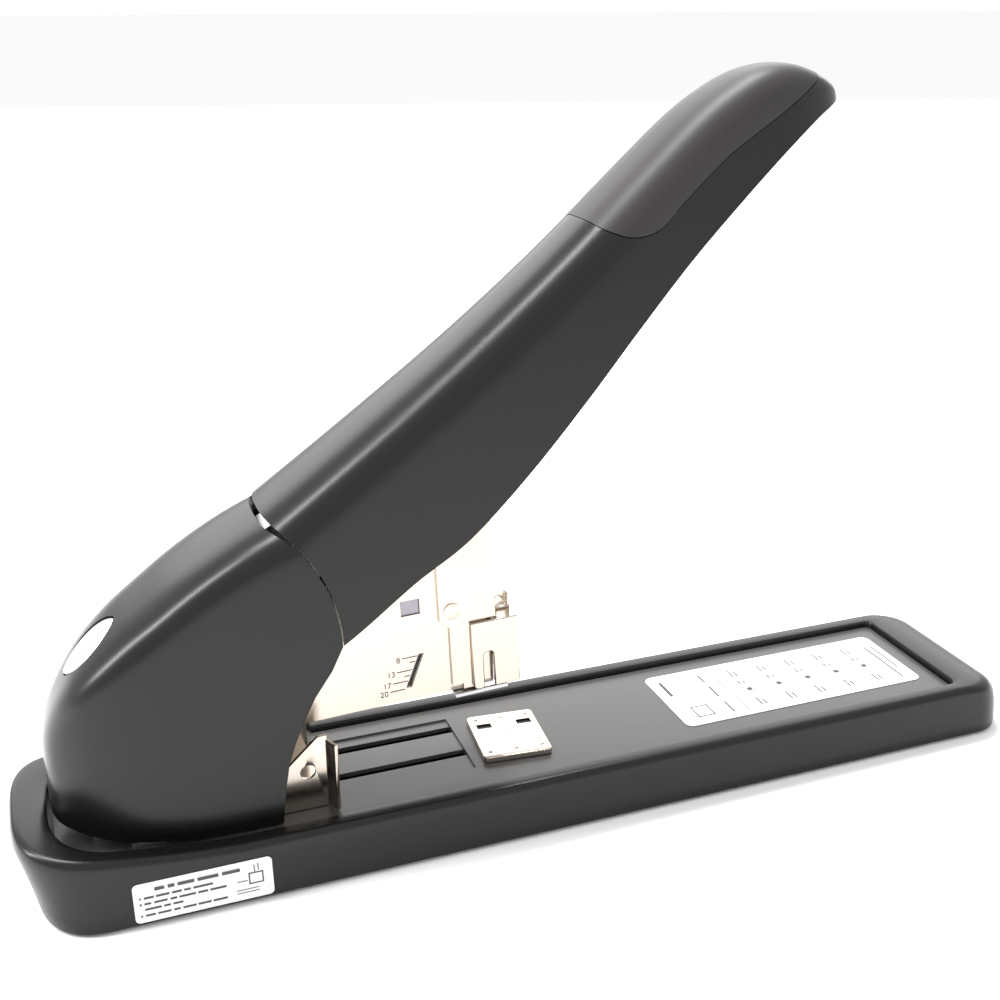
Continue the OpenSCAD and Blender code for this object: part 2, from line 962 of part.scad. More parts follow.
module ear() {
  difference() {
    union() {
      circle(r = 9.5);
      polygon([[0, -9.5], [50, -7], [84, -2], [108, -2], [113.3, -4.3],
        [113.3, 5], [104, 9.6], [60, 18.4], [20, 16], [0, 9.5]]);
      translate([113.3, 0.3])
        circle(r = 4.6);
    }
    circle(r = lever_pin_d / 2 + 0.04);
    translate([113.3, 0])
      circle(r = 2.02);
  }
}

module handle_lever() {
  color([0.6, 0.6, 0.62])
  along_lever()
    difference() {
      union() {
        side(lev_o - lev_t, lev_o)
          ear();
        side(-lev_o, -lev_o + lev_t)
          ear();
        side(-lev_o, lev_o)
          polygon([[22, 14], [60, 16.4], [90, 10.6], [90, 12.8], [60, 18.4],
            [22, 16]]);
      }
      for (q = lever_screws)
        translate([q[0], 0, 0])
          cylinder(r = 1.3, h = 30);
    }
}

module handle_screws() {
  color([0.7, 0.7, 0.72])
  along_lever()
    for (q = lever_screws)
      translate([q[0], 0, q[1]])
        union() {
          cylinder(r = 2.4, h = 1.5);
          cylinder(r = 1.2, h = 9.5);
        }
}

// A band inside the lever's lower edge, from d0 to d1 above it.
module low_band(d0, d1, i0, i1) {
  u = [for (q = hs) let (v = [q[0] - q[2], q[1] - q[3]]) v / norm(v)];
  polygon(concat([for (i = [i0:i1])
      [hs[i][2] + u[i][0] * d0, hs[i][3] + u[i][1] * d0]],
    [for (i = [i1:-1:i0])
      [hs[i][2] + u[i][0] * d1, hs[i][3] + u[i][1] * d1]]));
}

module handle_cover() {
  color([0.1, 0.1, 0.105])
  on_deck()
    intersection() {
      lever_body(lever_wall + 1.15, 3, 11);
      side(-40, 40)
        low_band(1.2, 3.4, 6, 11);
    }
}

module press_roller() {
  color([0.5, 0.5, 0.52])
  along_lever()
    difference() {
      bar_y(113.3, 0, roller_d / 2, -roller_w / 2, roller_w / 2);
      bar_y(113.3, 0, 2.04, -20, 20);
    }
}

module roller_pin() {
  color([0.75, 0.75, 0.77])
  along_lever()
    bar_y(113.3, 0, 2, -lev_o - 0.1, lev_o + 0.1);
}

module release_button() {
  color([0.78, 0.77, 0.82])
  on_deck()
    at_button()
      difference() {
        translate([0, 0, -button_in])
          linear_extrude(button_in + 0.8)
            lens(0);
        translate([0, 0, 26.2])
          rotate([90, 0, 0])
            cylinder(r = 26, h = 40, center = true, $fn = 160);
      }
}

base_shell();
deck_plate();
bottom_plate();
rubber_feet();
bottom_screws();
frame_left();
frame_right();
frame_screws();
rear_housing();
housing_screws();
lever_pin();
head_pin();
pin_clips();
spring_seat();
return_spring();
anvil_rivet();
deck_label();
side_label();
anvil_plate();
paper_guide();
guide_slider();
guide_rivets();
head_left();
head_right();
head_spacers();
front_channel();
channel_rivets();
leg_scale();
window_pads();
nose_cap();
nose_block();
magazine_rail();
latch_tab();
pusher_rod();
staple_pusher();
driver_carrier();
driver_blade();
driver_rivets();
handle_shell();
handle_grip();
handle_lever();
handle_cover();
handle_screws();
press_roller();
roller_pin();
release_button();
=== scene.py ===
import math
import bmesh
import bpy
from mathutils import Matrix, Vector


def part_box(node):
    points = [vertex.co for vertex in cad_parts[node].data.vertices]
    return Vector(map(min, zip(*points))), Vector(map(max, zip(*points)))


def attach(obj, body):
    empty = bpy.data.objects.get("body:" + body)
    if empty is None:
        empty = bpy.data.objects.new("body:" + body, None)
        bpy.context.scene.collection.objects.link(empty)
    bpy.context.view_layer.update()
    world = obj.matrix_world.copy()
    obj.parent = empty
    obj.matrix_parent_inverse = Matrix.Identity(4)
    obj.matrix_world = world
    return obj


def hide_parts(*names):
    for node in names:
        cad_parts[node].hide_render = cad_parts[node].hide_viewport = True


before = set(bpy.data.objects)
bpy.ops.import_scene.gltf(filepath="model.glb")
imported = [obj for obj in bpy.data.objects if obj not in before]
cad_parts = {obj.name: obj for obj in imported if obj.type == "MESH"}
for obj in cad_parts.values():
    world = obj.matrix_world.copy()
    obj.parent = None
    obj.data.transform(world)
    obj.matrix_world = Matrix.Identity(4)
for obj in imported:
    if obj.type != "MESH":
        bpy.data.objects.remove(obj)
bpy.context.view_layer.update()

# ---- Base body ----------------------------------------------------------
# The long black base is one injection moulding with a raised rim round a flat well.
# Its walls lean in, the rear end sweeps up and back, and the rim's edges are rounded.
MM = 0.001
BASE_L, BASE_W, RIM_TOP = 365, 72, 20.3


def make_object(name, bm, sharp=35):
    """Turns a bmesh into a smooth-shaded object that keeps its hard edges."""
    mesh = bpy.data.meshes.new(name)
    bm.to_mesh(mesh)
    bm.free()
    made = bpy.data.objects.new(name, mesh)
    bpy.context.scene.collection.objects.link(made)
    mesh.shade_smooth()
    mesh.set_sharp_from_angle(angle=math.radians(sharp))
    return made


def closed_loop(bm, points):
    """A closed loop of edges through points given in millimetres."""
    verts = [bm.verts.new(Vector(p) * MM) for p in points]
    return [bm.edges.new((a, b)) for a, b in zip(verts, verts[1:] + verts[:1])]


def rim_height(x):
    """The height of the rim's top, which rises towards the rear end."""
    return RIM_TOP + 9.6 * (max(0, -x - 110.5) / 72) ** 1.55


def base_outline(inset, front_inset):
    """The base seen from above, set in from its edge, as x and y."""
    front, half = BASE_L / 2 - front_inset, BASE_W / 2 - inset
    rear = -BASE_L / 2 + inset + max(0, inset - 4.2) * 1.1
    corner, tail = max(14 - inset * 1.4, 2.5), max(26 - inset * 0.7, 9)
    line = [(front, 0), (front, (half - corner) * 0.5)]
    for k in range(13):
        a = math.radians(7.5 * k)
        line.append((front - corner + corner * math.cos(a), half - corner + corner * math.sin(a)))
    for k in range(1, 30):
        line.append((front - corner + (rear + tail - front + corner) * k / 30, half))
    for k in range(21):
        a = math.radians(4.5 * k)
        line.append((rear + tail - tail * math.sin(a) ** 0.86,
                     half - half * (1 - math.cos(a) ** 0.62)))
    return line + [(x, -y) for x, y in reversed(line[1:-1])]


def base_loop(bm, inset, front_inset, low, from_rim):
    """One level of the base: at height low, or from_rim below the rim's top."""
    points = []
    for x, y in base_outline(inset, front_inset):
        z = rim_height(x) - from_rim if low is None else low
        swept = 7 * max(0, 1 - z / 24) * min(1, max(0, (-x - 130) / 52)) ** 2
        points.append((x + swept, y, z))
    return closed_loop(bm, points)


bm = bmesh.new()
loops = [base_loop(bm, *row) for row in [
    (3.4, 3.4, 1.2, 0), (2.0, 2.0, 0.6, 0), (0.9, 0.9, 0.6, 0), (0.2, 0.2, 1.2, 0), (0, 0, 2.4, 0),
    (0.45, 0.3, 6.5, 0), (0.9, 0.9, 11, 0), (1.35, 2.2, None, 5), (1.6, 3.9, None, 2.7),
    (1.9, 5.6, None, 1.5), (2.4, 8, None, 0.7), (3.2, 11.5, None, 0.18), (4.2, 14.5, None, 0),
    (7.0, 20.3, None, 0), (7.8, 21.1, None, 0.12), (8.2, 21.5, None, 0.5),
    (8.35, 21.65, None, 1.2), (8.4, 21.7, 17.4, 0), (8.4, 21.7, 15.6, 0), (11, 24, 15.4, 0)]]
for outer, inner in zip(loops, loops[1:]):
    bmesh.ops.bridge_loops(bm, edges=outer + inner)
bmesh.ops.recalc_face_normals(bm, faces=bm.faces)
base_body = make_object("base_body", bm)
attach(base_body, "base")
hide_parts("base_shell")


def new_material(name, colour, roughness, metallic=0.0, specular=0.5):
    """A Principled material with its plain values on the shader's own sockets."""
    made = bpy.data.materials.new(name)
    made.use_nodes = True
    shader = made.node_tree.nodes["Principled BSDF"]
    shader.inputs["Base Color"].default_value = (*colour, 1)
    shader.inputs["Roughness"].default_value = roughness
    shader.inputs["Metallic"].default_value = metallic
    shader.inputs["Specular IOR Level"].default_value = specular
    return made


def surface_group():
    """Fine moulded grain and slow changes of gloss, shared by every finish."""
    group = bpy.data.node_groups.new("fine_grain", "ShaderNodeTree")
    face = group.interface
    for label, kind, value in [("Grain Size", "NodeSocketFloat", 0.0004),
                               ("Grain Depth", "NodeSocketFloat", 0.1),
                               ("Gloss", "NodeSocketFloat", 0.4),
                               ("Gloss Change", "NodeSocketFloat", 0.05),
                               ("Stretch", "NodeSocketFloat", 1.0)]:
        face.new_socket(label, in_out="INPUT", socket_type=kind).default_value = value
    face.new_socket("Roughness", in_out="OUTPUT", socket_type="NodeSocketFloat")
    face.new_socket("Normal", in_out="OUTPUT", socket_type="NodeSocketVector")
    nodes, wires = group.nodes, group.links
    inp, outp = nodes.new("NodeGroupInput"), nodes.new("NodeGroupOutput")
    place = nodes.new("ShaderNodeTexCoord")
    stretch = nodes.new("ShaderNodeVectorMath")
    stretch.operation = "MULTIPLY"
    combine = nodes.new("ShaderNodeCombineXYZ")
    combine.inputs["Y"].default_value = 1
    combine.inputs["Z"].default_value = 1
    wires.new(inp.outputs["Stretch"], combine.inputs["X"])
    wires.new(place.outputs["Object"], stretch.inputs[0])
    wires.new(combine.outputs["Vector"], stretch.inputs[1])
    scale = nodes.new("ShaderNodeMath")
    scale.operation = "DIVIDE"
    scale.inputs[0].default_value = 1
    wires.new(inp.outputs["Grain Size"], scale.inputs[1])
    grain = nodes.new("ShaderNodeTexNoise")
    grain.inputs["Detail"].default_value = 3
    wires.new(stretch.outputs["Vector"], grain.inputs["Vector"])
    wires.new(scale.outputs["Value"], grain.inputs["Scale"])
    bump = nodes.new("ShaderNodeBump")
    bump.inputs["Distance"].default_value = 0.0001
    wires.new(inp.outputs["Grain Depth"], bump.inputs["Strength"])
    wires.new(grain.outputs["Fac"], bump.inputs["Height"])
    slow = nodes.new("ShaderNodeTexNoise")
    slow.inputs["Scale"].default_value = 28
    slow.inputs["Detail"].default_value = 4
    wires.new(stretch.outputs["Vector"], slow.inputs["Vector"])
    spread = nodes.new("ShaderNodeMath")
    spread.operation = "SUBTRACT"
    spread.inputs[1].default_value = 0.5
    wires.new(slow.outputs["Fac"], spread.inputs[0])
    change = nodes.new("ShaderNodeMath")
    change.operation = "MULTIPLY_ADD"
    wires.new(spread.outputs["Value"], change.inputs[0])
    wires.new(inp.outputs["Gloss Change"], change.inputs[1])
    wires.new(inp.outputs["Gloss"], change.inputs[2])
    wires.new(change.outputs["Value"], outp.inputs["Roughness"])
    wires.new(bump.outputs["Normal"], outp.inputs["Normal"])
    return group


fine_grain = surface_group()


def finish_with_grain(material, size, depth, gloss, change, stretch=1.0):
    """Puts the grain group in a material and joins it to the shader."""
    tree = material.node_tree
    node = tree.nodes.new("ShaderNodeGroup")
    node.node_tree = fine_grain
    for label, value in [("Grain Size", size), ("Grain Depth", depth), ("Gloss", gloss),
                         ("Gloss Change", change), ("Stretch", stretch)]:
        node.inputs[label].default_value = value
    shader = tree.nodes["Principled BSDF"]
    tree.links.new(node.outputs["Roughness"], shader.inputs["Roughness"])
    tree.links.new(node.outputs["Normal"], shader.inputs["Normal"])
    return material


black_plastic = finish_with_grain(new_material("satin_black_plastic", (0.006, 0.0058, 0.0055), 0.27, 0, 0.34),
                                  0.00035, 0.12, 0.27, 0.06)
base_body.data.materials.append(black_plastic)


def give(material, *nodes):
    """Puts a finish in every material slot of CAD nodes that stay in view."""
    for name in nodes:
        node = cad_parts[name]
        if not node.data.materials:
            node.data.materials.append(material)
        for k in range(len(node.data.materials)):
            node.data.materials[k] = material


# ---- Deck plate ---------------------------------------------------------
# A pressed sheet-steel deck with a satin grey-black coat lies in the base's well.
# A shallow lower panel with two guide slots is pressed in at its rear half.
FLAT_FACE = 120  # square millimetres; a sheet's faces above this are shaded flat


def soften(node, name, width, body, material, segments=2, sharp=30):
    """A rounded-edge copy of a CAD node's mesh, which it then stands for."""
    bm = bmesh.new()
    bm.from_mesh(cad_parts[node].data)
    bmesh.ops.remove_doubles(bm, verts=bm.verts, dist=2e-6)
    bmesh.ops.dissolve_limit(bm, angle_limit=math.radians(1), verts=bm.verts, edges=bm.edges)
    hard = [e for e in bm.edges if len(e.link_faces) == 2 and e.calc_face_angle() > math.radians(sharp)]
    bmesh.ops.bevel(bm, geom=hard, offset=width * MM, offset_type="OFFSET", segments=segments,
                    profile=0.5, affect="EDGES", clamp_overlap=True, material=-1)
    made = make_object(name, bm, 45)
    for face in made.data.polygons:
        face.use_smooth = face.area < FLAT_FACE * MM * MM
    made.data.materials.append(material)
    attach(made, body)
    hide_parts(node)
    return made


deck_coat = finish_with_grain(new_material("satin_deck_coat", (0.06, 0.058, 0.056), 0.3, 0.0),
                              0.0003, 0.1, 0.33, 0.06)
deck = soften("deck_plate", "deck", 0.35, "base", deck_coat)

# ---- Rear housing -------------------------------------------------------
# A hollow black moulding stands in the well and covers the frame, its front cut
# to the arc that the lever swings through; two screws hold it from below.
LEVER_PIN, ARC, DOME = Vector((-133, 77)), 56.5, 15
SILL_HEIGHT, HOUSING_FRONT = 75.6, -99
HOUSING_LIP_DIP, HOUSING_SQUARENESS, HOUSING_WALL = 3.2, 3.4, 2.4
housing_stations = [
    (-168.35, 45, -168.35, 29, 0), (-168.2, 47, -168.2, 27, 2.4), (-167.6, 53.1, -167.6, 26.6, 6),
    (-166, 59, -166, 26, 9.6), (-163.5, 64.8, -163.5, 25.3, 12.6), (-160, 70.6, -160, 24.5, 15.6),
    (-155.5, 76.5, -155.5, 23.5, 18.4), (-149.5, 82.7, -149.5, 22.4, 20.8),
    (-142.5, 88.7, -142.5, 21.4, 22.6), (-134, 94.9, -134, 20.3, 23.6),
    (-124, 102.1, -124, 19.4, 24.1), (-113, 109, -113, 18.9, 24.2),
    (-101, 115.2, -101, 18.7, 24.2), (-88, 120.2, -88, 18.6, 24.2), (-70, 124.5, -70, 18.6, 24)]
front_edge = [(HOUSING_FRONT, 10), (-98.9, 20.5), (-97.2, 32), (-95.4, 42), (-92.4, 49.5), (-86, 62.5),
              (-76.6, SILL_HEIGHT)]


def smooth_line(points, steps):
    """A line through the given points without corners, with steps to each span."""
    pts = [Vector(p) for p in points]
    ends = [pts[0] * 2 - pts[1]] + pts + [pts[-1] * 2 - pts[-2]]
    out = []
    for i in range(len(pts) - 1):
        a, b, c, d = ends[i:i + 4]
        for k in range(steps):
            f = k / steps
            out.append(0.5 * (2 * b + (c - a) * f + (2 * a - 5 * b + 4 * c - d) * f * f
                              + (3 * b - a - 3 * c + d) * f ** 3))
    return out + [pts[-1]]


def arch_line(stations, j, across, squareness):
    """One line along a moulding: up its sides in quarters, then over its dome."""
    flat = across // 5
    points = []
    for xc, zc, xl, zl, half in stations:
        height = math.hypot(xc - xl, zc - zl)
        sill = 1 - min(DOME / height, 0.75)
        if flat <= j <= across - flat:
            angle = math.pi * (j - flat) / (across - 2 * flat)
            c, s = math.cos(angle), math.sin(angle)
            side = math.copysign(abs(c) ** (2 / squareness), c)
            rise = sill + (1 - sill) * abs(s) ** (2 / squareness)
        else:
            side = 1 if j < flat else -1
            rise = sill * min(j, across - j) / flat
        points.append((xl + (xc - xl) * rise, side * half, zl + (zc - zl) * rise))
    return smooth_line(points, 8)


def spread_out(line, count):
    """The same line with its points evenly apart."""
    far = [0.0]
    for a, b in zip(line, line[1:]):
        far.append(far[-1] + (b - a).length)
    out, i = [], 0
    for k in range(count + 1):
        want = far[-1] * k / count
        while i < len(far) - 2 and far[i + 1] < want:
            i += 1
        f = (want - far[i]) / max(far[i + 1] - far[i], 1e-9)
        out.append(line[i].lerp(line[i + 1], f))
    return out


def arched_skin(stations, squareness, kept, across, along):
    """A grid laid over an arched moulding, cut off where kept() says."""
    columns = []
    for j in range(across + 1):
        line = arch_line(stations, j, across, squareness)
        rise = math.sin(math.pi * min(1, max(0, (j / across - 0.2) / 0.6)))
        inside = [p for p in line if kept(p, rise)]
        first, last = line.index(inside[0]), line.index(inside[-1])
        if first > 0:
            a, b = line[first - 1], line[first]
            for _ in range(24):
                m = (a + b) / 2
                a, b = (a, m) if kept(m, rise) else (m, b)
            inside = [b] + inside
        if last < len(line) - 1:
            a, b = line[last], line[last + 1]
            for _ in range(24):
                m = (a + b) / 2
                a, b = (m, b) if kept(m, rise) else (a, m)
            inside = inside + [a]
        columns.append(spread_out(inside, along))
    bm = bmesh.new()
    bmesh.ops.create_grid(bm, x_segments=across, y_segments=along, size=1)
    for v in bm.verts:
        j = round((v.co.x + 1) / 2 * across)
        i = round((v.co.y + 1) / 2 * along)
        v.co = columns[j][i] * MM
    bmesh.ops.remove_doubles(bm, verts=bm.verts, dist=1e-6)
    return bm


def wall(obj, thickness, edge=0.3):
    """Gives a skin its wall, on the inside, and rounds the wall's edges a little."""
    solid = obj.modifiers.new("wall", "SOLIDIFY")
    solid.thickness = thickness * MM
    solid.offset = -1
    solid.use_even_offset = True
    if edge:
        soft = obj.modifiers.new("edge", "BEVEL")
        soft.width = edge * MM
        soft.segments = 2
        soft.limit_method = "ANGLE"
        soft.angle_limit = math.radians(50)


def in_housing(p, rise):
    """Whether a point of the arched skin lies behind the housing's front edge."""
    if p.z > SILL_HEIGHT:
        reach = (Vector((p.x, p.z)) - LEVER_PIN).length
        return reach < ARC - HOUSING_LIP_DIP * rise ** 3 or p.x < LEVER_PIN.x
    for (x0, z0), (x1, z1) in zip(front_edge, front_edge[1:]):
        if z0 <= p.z <= z1:
            return p.x < x0 + (x1 - x0) * (p.z - z0) / (z1 - z0)
    return p.x < HOUSING_FRONT


def outward(bm, centre):
    """Turns the faces of an open skin away from a point inside it."""
    bmesh.ops.recalc_face_normals(bm, faces=bm.faces)
    bm.faces.ensure_lookup_table()
    c = Vector(centre) * MM
    votes = sum(1 if f.normal.dot(f.calc_center_median() - c) > 0 else -1 for f in bm.faces)
    if votes < 0:
        bmesh.ops.reverse_faces(bm, faces=bm.faces)


def apply_now(obj):
    """Makes an object's modifiers part of its mesh."""
    deps = bpy.context.evaluated_depsgraph_get()
    mesh = bpy.data.meshes.new_from_object(obj.evaluated_get(deps))
    obj.modifiers.clear()
    obj.data = mesh


def cut_by(obj, tool, operation="DIFFERENCE"):
    """Cuts an object with another, whose finish goes on to the cut faces."""
    mod = obj.modifiers.new("cut", "BOOLEAN")
    mod.object = tool
    mod.operation = operation
    mod.solver = "EXACT"
    mod.material_mode = "TRANSFER"
    apply_now(obj)


bm = arched_skin(housing_stations, HOUSING_SQUARENESS, in_housing, 60, 72)
outward(bm, (-125, 0, 50))
housing = make_object("rear_cover", bm, 60)
wall(housing, HOUSING_WALL, 0)
apply_now(housing)

eye = bmesh.new()
BUTTON_PLACE, BUTTON_TILT = Vector((-151, 0, 80.8)), 47
EYE_RADIUS, EYE_SHIFT, EYE_GAP = 12.27, 4.27, 0.45
tilt = (Matrix.Translation(BUTTON_PLACE * MM)
        @ Matrix.Rotation(math.radians(BUTTON_TILT - 90), 4, "Y"))


def eye_loop(bm, grow, height):
    """The eye-shaped outline of the release button, as a closed loop."""
    radius = EYE_RADIUS + grow
    reach = math.acos(EYE_SHIFT / radius)
    points = []
    for side in (1, -1):
        for k in range(24):
            a = -reach + 2 * reach * k / 24
            points.append(Vector((radius * math.sin(a) * side,
                                  (radius * math.cos(a) - EYE_SHIFT) * side, height)))
    return closed_loop(bm, [tilt @ (p * MM) / MM for p in points])


low, high = eye_loop(eye, EYE_GAP, -12), eye_loop(eye, EYE_GAP, 14)
bmesh.ops.bridge_loops(eye, edges=low + high)
bmesh.ops.holes_fill(eye, edges=eye.edges)
bmesh.ops.recalc_face_normals(eye, faces=eye.faces)
eye_tool = make_object("eye_tool", eye)
cut_by(housing, eye_tool)
bpy.data.objects.remove(eye_tool)
soft = housing.modifiers.new("edge", "BEVEL")
soft.width = 0.35 * MM
soft.segments = 2
soft.limit_method = "ANGLE"
soft.angle_limit = math.radians(50)
housing.data.shade_smooth()
housing.data.set_sharp_from_angle(angle=math.radians(50))
housing.data.materials.clear()
housing.data.materials.append(black_plastic)
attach(housing, "base")
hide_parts("rear_housing")

# ---- Release button -----------------------------------------------------
# A small eye-shaped button of silver-painted plastic fills the hole in the housing's
# back. It is domed across its width and is pressed in against its spring.
bm = bmesh.new()
rings = [eye_loop(bm, grow, height) for grow, height in
         [(0, -2.2), (0, -0.8), (-0.12, -0.35), (-0.5, 0.0), (-1.3, 0.22), (-2.6, 0.42),
          (-4.4, 0.6), (-6.4, 0.72)]]
for a, b in zip(rings, rings[1:]):
    bmesh.ops.bridge_loops(bm, edges=a + b)
bmesh.ops.holes_fill(bm, edges=bm.edges)
bmesh.ops.recalc_face_normals(bm, faces=bm.faces)
button = make_object("silver_button", bm, 50)
silver = finish_with_grain(new_material("silver_paint", (0.5, 0.49, 0.52), 0.3, 0.55),
                           0.0002, 0.05, 0.3, 0.06)
button.data.materials.append(silver)
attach(button, "button")
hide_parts("release_button")

# ---- Lever shell --------------------------------------------------------
# The long lever is a black moulded channel, arched above and open below. Its rear
# end follows the housing's arc and turns in; it is screwed to the steel lever inside.
LEVER_GAP, LEVER_END_DIP, LEVER_SQUARENESS, LEVER_WALL = 0.45, 1.2, 2.8, 2.6
TURN_CENTRE, TURN_SHARE, TURN_RADIUS = 0.42, 0.5, ARC + 0.5
lever_stations = [
    (-115.5, 105.5, -92, 68, 23.5), (-95.6, 119.9, -72, 80.5, 23), (-75.7, 134, -52, 95, 22.3),
    (-56.1, 148.1, -33.8, 106.5, 21.6), (-35.8, 163.1, -14, 125, 20.9), (-15.8, 178.9, 6, 147, 20.1),
    (4.2, 195.8, 24, 168.4, 19.4), (24.8, 214.6, 41, 188, 18.8), (44.8, 232.1, 56, 203.4, 18.2),
    (60.4, 242, 69, 216, 17.6), (71.1, 245.8, 79.5, 225, 16.2), (81, 246.3, 87, 230.2, 13.8),
    (89.5, 244, 93, 233.2, 10.8), (95.5, 241, 97, 234.6, 7.4), (99, 238.2, 99.6, 235.2, 3.4),
    (100.2, 236.4, 100.2, 236.2, 0)]


def past_arc(p, rise):
    """Whether a point of the arched skin lies in front of the lever's rear end."""
    if p.x < LEVER_PIN.x + 5:
        return False
    return (Vector((p.x, p.z)) - LEVER_PIN).length > ARC + LEVER_GAP - LEVER_END_DIP * rise ** 3


def lever_skin(name):
    """The lever's whole moulding, before the grip's seam divides it."""
    bm = arched_skin(lever_stations, LEVER_SQUARENESS, past_arc, 60, 110)
    outward(bm, (-20, 0, 150))
    rear = [e for e in bm.edges if e.is_boundary and all(
        (Vector((v.co.x, v.co.z)) / MM - LEVER_PIN).length < ARC + 1.2 for v in e.verts)]
    turned_in = bmesh.ops.extrude_edge_only(bm, edges=rear)["geom"]
    for v in [g for g in turned_in if isinstance(g, bmesh.types.BMVert)]:
        arm = Vector((v.co.x, v.co.z)) / MM - LEVER_PIN
        angle = math.atan2(arm.y, arm.x)
        angle = TURN_CENTRE + (angle - TURN_CENTRE) * TURN_SHARE
        v.co = Vector((LEVER_PIN.x + TURN_RADIUS * math.cos(angle), v.co.y / MM * TURN_SHARE,
                       LEVER_PIN.y + TURN_RADIUS * math.sin(angle))) * MM
    made = make_object(name, bm, 60)
    wall(made, LEVER_WALL, 0)
    apply_now(made)
    return made


seam = smooth_line([
    (-14, 0, 232), (0, 0, 218), (6, 0, 208.6), (10.7, 0, 201.2), (16.1, 0, 198.3), (20.9, 0, 197.2),
    (26, 0, 197.6), (30.5, 0, 199.4), (34.3, 0, 202.7), (37.8, 0, 206.6), (51.2, 0, 218.7),
    (60.7, 0, 225.3), (70.4, 0, 231.2), (77.5, 0, 235.6), (83.5, 0, 239.2), (88, 0, 242.2),
    (91.5, 0, 248)], 6)
seam = seam + [Vector((91.5, 0, 270)), Vector((-14, 0, 270))]


def seam_tool(shift):
    """A block across the lever whose outline is the grip's seam."""
    bm = bmesh.new()
    near = closed_loop(bm, [p + Vector((0, -30, 0)) + shift for p in seam])
    far = closed_loop(bm, [p + Vector((0, 30, 0)) + shift for p in seam])
    bmesh.ops.bridge_loops(bm, edges=near + far)
    bmesh.ops.holes_fill(bm, edges=bm.edges)
    bmesh.ops.recalc_face_normals(bm, faces=bm.faces)
    return make_object("seam_tool", bm)


lever_shell = lever_skin("lever_shell")
tool = seam_tool(Vector((0, 0, 0)))
cut_by(lever_shell, tool)
bpy.data.objects.remove(tool)
grip = lever_skin("soft_grip")
tool = seam_tool(Vector((0.05, 0, 0.32)))
cut_by(grip, tool, "INTERSECT")
bpy.data.objects.remove(tool)
for piece, width in ((lever_shell, 0.3), (grip, 0.18)):
    soft = piece.modifiers.new("edge", "BEVEL")
    soft.width = width * MM
    soft.segments = 2
    soft.limit_method = "ANGLE"
    soft.angle_limit = math.radians(50)
    piece.data.shade_smooth()
    piece.data.set_sharp_from_angle(angle=math.radians(50))
    piece.data.materials.clear()
    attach(piece, "lever")
lever_shell.data.materials.append(black_plastic)
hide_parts("handle_shell")

# ---- Grip ---------------------------------------------------------------
# A soft-touch grey insert is moulded into the top of the lever behind a fine seam.
grip_rubber = finish_with_grain(new_material("soft_touch_grey", (0.032, 0.03, 0.029), 0.42, 0, 0.3),
                                0.0003, 0.14, 0.42, 0.06)
grip.data.materials.append(grip_rubber)
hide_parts("handle_grip")

# ---- Head, magazine and guide -------------------------------------------
# The head is folded from nickel-plated sheet: two side plates, a channel riveted
# over them, and a nose cap that slides out forwards with the magazine.
nickel = finish_with_grain(new_material("bright_nickel", (0.6, 0.53, 0.46), 0.2, 1.0),
                           0.0006, 0.03, 0.17, 0.09)
zinc = finish_with_grain(new_material("zinc_plate", (0.55, 0.55, 0.57), 0.34, 1.0),
                         0.0005, 0.06, 0.34, 0.12, 0.3)
steel = finish_with_grain(new_material("ground_steel", (0.4, 0.4, 0.42), 0.3, 1.0),
                          0.0004, 0.05, 0.3, 0.1, 0.2)
for node, name, width, body in [
        ("head_left", "far_side_plate", 0.15, "head"), ("head_right", "near_side_plate", 0.15, "head"),
        ("front_channel", "channel", 0.2, "head"), ("channel_rivets", "channel_rivet_heads", 0.12, "head"),
        ("nose_cap", "nose", 0.35, "magazine"), ("latch_tab", "latch", 0.25, "magazine"),
        ("paper_guide", "guide_sheet", 0.3, "guide"), ("anvil_rivet", "anvil_post", 0.2, "base")]:
    piece = soften(node, name, width, body, nickel)
give(nickel, "guide_rivets")
give(zinc, "bottom_plate", "bottom_screws", "frame_left", "frame_right", "frame_screws", "housing_screws",
     "spring_seat", "head_spacers", "magazine_rail", "driver_rivets", "handle_lever", "handle_screws")
give(steel, "lever_pin", "head_pin", "pin_clips", "return_spring", "nose_block", "pusher_rod",
     "driver_carrier", "driver_blade", "press_roller", "roller_pin")
give(black_plastic, "guide_slider", "staple_pusher", "handle_cover")
foot_rubber = finish_with_grain(new_material("foot_rubber", (0.02, 0.02, 0.02), 0.7), 0.0006, 0.3, 0.7, 0.1)
give(foot_rubber, "rubber_feet")
mark_ink = finish_with_grain(new_material("filled_marks", (0.06, 0.055, 0.05), 0.5), 0.0002, 0.05, 0.5, 0.1)
give(mark_ink, "leg_scale")
pad_grey = finish_with_grain(new_material("pad_grey", (0.42, 0.4, 0.46), 0.45), 0.0003, 0.1, 0.45, 0.1)
give(pad_grey, "window_pads")
paper = finish_with_grain(new_material("printed_label", (0.83, 0.83, 0.82), 0.42), 0.0003, 0.05, 0.42, 0.05)
give(paper, "deck_label")

# ---- Labels -------------------------------------------------------------
# Two printed labels are stuck on, one along the deck and one on the near side; plain
# bars and a small drawing stand where the print would be.
LABEL_OUT, PRINT_OUT = 0.42, 0.43
bm = bmesh.new()
bm.from_mesh(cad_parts["side_label"].data)
bmesh.ops.remove_doubles(bm, verts=bm.verts, dist=2e-6)
bmesh.ops.dissolve_limit(bm, angle_limit=math.radians(1), verts=bm.verts, edges=bm.edges)
bmesh.ops.bevel(bm, geom=[e for e in bm.edges if e.calc_length() < 0.9 * MM], offset=1.5 * MM,
                offset_type="OFFSET", segments=5, profile=0.5, affect="EDGES", material=-1)
bmesh.ops.translate(bm, verts=bm.verts, vec=(0, -LABEL_OUT * MM, 0))
side_label = make_object("rounded_side_label", bm, 30)
side_label.data.materials.append(paper)
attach(side_label, "base")
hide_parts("side_label")


